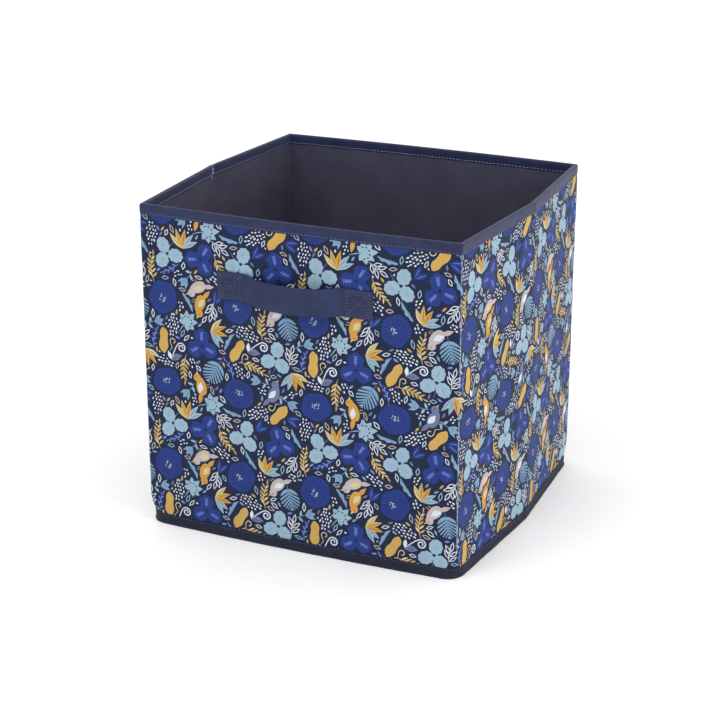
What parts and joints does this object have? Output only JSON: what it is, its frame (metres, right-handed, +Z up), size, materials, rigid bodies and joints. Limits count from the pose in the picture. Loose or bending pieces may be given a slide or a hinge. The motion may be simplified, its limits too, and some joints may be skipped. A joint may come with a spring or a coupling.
{
  "type": "collapsible fabric storage bin",
  "caption": "Open-topped fabric storage cube that folds flat: printed walls stiffened with board, bound rim and base, plain lining, loose base board and a strap handle on the front.",
  "frame": {"origin": "on the floor, under the middle of the bin at the crossing of its two planes of symmetry, the handle left out", "axes": "+Z up towards the open top; the front, which has the handle, faces -Y; +X is the right-hand side seen from the front"},
  "size_m": [0.3416, 0.3319, 0.32],
  "materials": {
    "printed_fabric": "woven, matt",
    "wall_board": "matt, uncoated",
    "lining": "non-woven, matt",
    "binding": "ribbed tape, matt",
    "handle_strap": "woven webbing, matt",
    "base_fabric": "non-woven, matt",
    "base_board": "matt, uncoated"
  },
  "bodies": {
    "back_wall": {"back_outer_fabric": "printed_fabric", "back_board": "wall_board", "back_lining": "lining", "back_rim_tape": "binding", "back_base_tape": "binding", "base_fabric": "base_fabric"},
    "left_rear": {"left_rear_outer_fabric": "printed_fabric", "left_rear_board": "wall_board", "left_rear_lining": "lining", "left_rear_rim_tape": "binding", "left_rear_base_tape": "binding"},
    "left_front": {"left_front_outer_fabric": "printed_fabric", "left_front_board": "wall_board", "left_front_lining": "lining", "left_front_rim_tape": "binding", "left_front_base_tape": "binding"},
    "front_wall": {"front_outer_fabric": "printed_fabric", "front_board": "wall_board", "front_lining": "lining", "front_rim_tape": "binding", "front_base_tape": "binding", "handle_left_end": "handle_strap", "handle_right_end": "handle_strap", "handle_left_bend": "handle_strap", "handle_right_bend": "handle_strap"},
    "right_front": {"right_front_outer_fabric": "printed_fabric", "right_front_board": "wall_board", "right_front_lining": "lining", "right_front_rim_tape": "binding", "right_front_base_tape": "binding"},
    "right_rear": {"right_rear_outer_fabric": "printed_fabric", "right_rear_board": "wall_board", "right_rear_lining": "lining", "right_rear_rim_tape": "binding", "right_rear_base_tape": "binding"},
    "base_board": {"base_board_core": "base_board", "base_board_cover": "lining"},
    "handle": {"handle_loop": "handle_strap"}
  },
  "joints": [
    {"name": "fold", "type": "hinge", "parent": "back_wall", "child": "left_rear", "pos_m": [-0.1555, 0.1495, 0.16], "axis": [0, 0, 1], "range_deg": [0, 89.5], "deforming": ["left_rear_base_tape", "left_front_base_tape", "front_base_tape", "right_front_base_tape", "right_rear_base_tape", "base_fabric"]},
    {"name": "left_crease", "type": "hinge", "parent": "left_rear", "child": "left_front", "pos_m": [-0.1711, 0, 0.16], "axis": [0, 0, 1], "range_deg": [-179, 0]},
    {"name": "front_left_corner", "type": "hinge", "parent": "left_front", "child": "front_wall", "pos_m": [-0.1555, -0.1495, 0.16], "axis": [0, 0, 1], "range_deg": [0, 89.5]},
    {"name": "front_right_corner", "type": "hinge", "parent": "front_wall", "child": "right_front", "pos_m": [0.1555, -0.1495, 0.16], "axis": [0, 0, 1], "range_deg": [0, 89.5]},
    {"name": "right_crease", "type": "hinge", "parent": "right_front", "child": "right_rear", "pos_m": [0.1711, 0, 0.16], "axis": [0, 0, 1], "range_deg": [-179, 0]},
    {"name": "base_board_lift", "type": "slide", "parent": "back_wall", "child": "base_board", "axis": [0, 0, 1], "range_m": [0, 0.335]},
    {"name": "handle_swing", "type": "hinge", "parent": "front_wall", "child": "handle", "pos_m": [0, -0.15851, 0.254], "axis": [1, 0, 0], "range_deg": [-20, 20], "deforming": ["handle_left_bend", "handle_right_bend"]}
  ],
  "couplings": [
    {"joint": "left_crease", "follows": "fold", "ratio": -2},
    {"joint": "front_left_corner", "follows": "fold", "ratio": 1},
    {"joint": "front_right_corner", "follows": "fold", "ratio": 1},
    {"joint": "right_crease", "follows": "fold", "ratio": -2}
  ]
}
